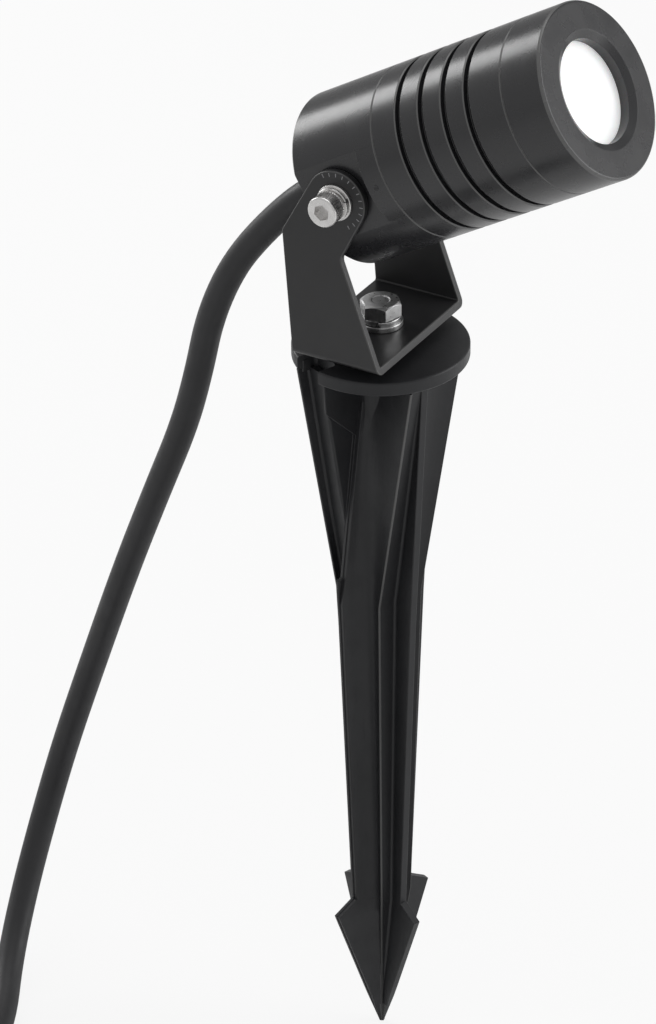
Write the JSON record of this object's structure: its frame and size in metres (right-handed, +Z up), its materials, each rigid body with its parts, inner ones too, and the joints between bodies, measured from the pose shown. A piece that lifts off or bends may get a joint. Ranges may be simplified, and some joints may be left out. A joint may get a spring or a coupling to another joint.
{
  "type": "garden spike spotlight",
  "caption": "Outdoor spotlight with a grooved cylindrical head that tilts in a folded yoke, which turns on a moulded ground spike; the supply lead is coiled and ends in a plug.",
  "frame": {"origin": "centre of the underside of the spike's flange, at the line of the ground when the spike is pushed in", "axes": "+Z up along the spike's axis, +X the way the head faces, +Y along the tilt pivot away from the ear with the bright screw seen in the picture"},
  "size_m": [0.1869, 0.2136, 0.3356],
  "materials": {
    "spike": "satin moulded",
    "thread_insert": "turned",
    "swivel_bolt": "zinc plated",
    "swivel_flat_washer": "zinc plated",
    "swivel_spring_washer": "zinc plated",
    "yoke_bracket": "satin powder coat",
    "rear_housing": "black anodised, satin",
    "finned_barrel": "black anodised, satin",
    "front_bezel": "black anodised, satin",
    "front_lens": "frosted",
    "lens_gasket": "translucent silicone",
    "barrel_seal": "matte",
    "bezel_seal": "matte",
    "led_board": "white solder mask",
    "led_emitter": "phosphor",
    "reflector": "metallised",
    "driver_board": "green solder mask",
    "driver_components": "matte",
    "gland_body": "matte",
    "gland_seal": "matte",
    "gland_nut": "matte",
    "cable_tail": "matte",
    "near_pivot_screw": "bright stainless",
    "near_pivot_spring": "bright stainless",
    "near_pivot_washer": "bright stainless",
    "far_pivot_screw": "bright stainless",
    "far_pivot_spring": "bright stainless",
    "far_pivot_washer": "bright stainless",
    "supply_cable": "matte rubber sheath",
    "cable_coil": "matte rubber sheath",
    "coil_tie": "satin",
    "plug_body": "matte",
    "plug_pins": "nickel plated",
    "plug_earth_clips": "nickel plated"
  },
  "bodies": {
    "spike": {"spike": "spike", "thread_insert": "thread_insert", "swivel_bolt": "swivel_bolt", "swivel_flat_washer": "swivel_flat_washer", "swivel_spring_washer": "swivel_spring_washer"},
    "bracket": {"yoke_bracket": "yoke_bracket", "supply_cable": "supply_cable", "cable_coil": "cable_coil", "coil_tie": "coil_tie", "plug_body": "plug_body", "plug_pins": "plug_pins", "plug_earth_clips": "plug_earth_clips"},
    "head": {"rear_housing": "rear_housing", "finned_barrel": "finned_barrel", "front_bezel": "front_bezel", "front_lens": "front_lens", "lens_gasket": "lens_gasket", "barrel_seal": "barrel_seal", "bezel_seal": "bezel_seal", "led_board": "led_board", "led_emitter": "led_emitter", "reflector": "reflector", "driver_board": "driver_board", "driver_components": "driver_components", "gland_body": "gland_body", "gland_seal": "gland_seal", "gland_nut": "gland_nut", "cable_tail": "cable_tail", "near_pivot_screw": "near_pivot_screw", "near_pivot_spring": "near_pivot_spring", "near_pivot_washer": "near_pivot_washer", "far_pivot_screw": "far_pivot_screw", "far_pivot_spring": "far_pivot_spring", "far_pivot_washer": "far_pivot_washer"}
  },
  "joints": [
    {"name": "swivel", "type": "hinge", "parent": "spike", "child": "bracket", "pos_m": [0, 0, 0.008], "axis": [0, 0, 1], "range_deg": [-170, 170]},
    {"name": "tilt", "type": "hinge", "parent": "bracket", "child": "head", "pos_m": [0, 0, 0.0555], "axis": [0, -1, 0], "range_deg": [-65, 60], "deforming": ["supply_cable"]}
  ]
}
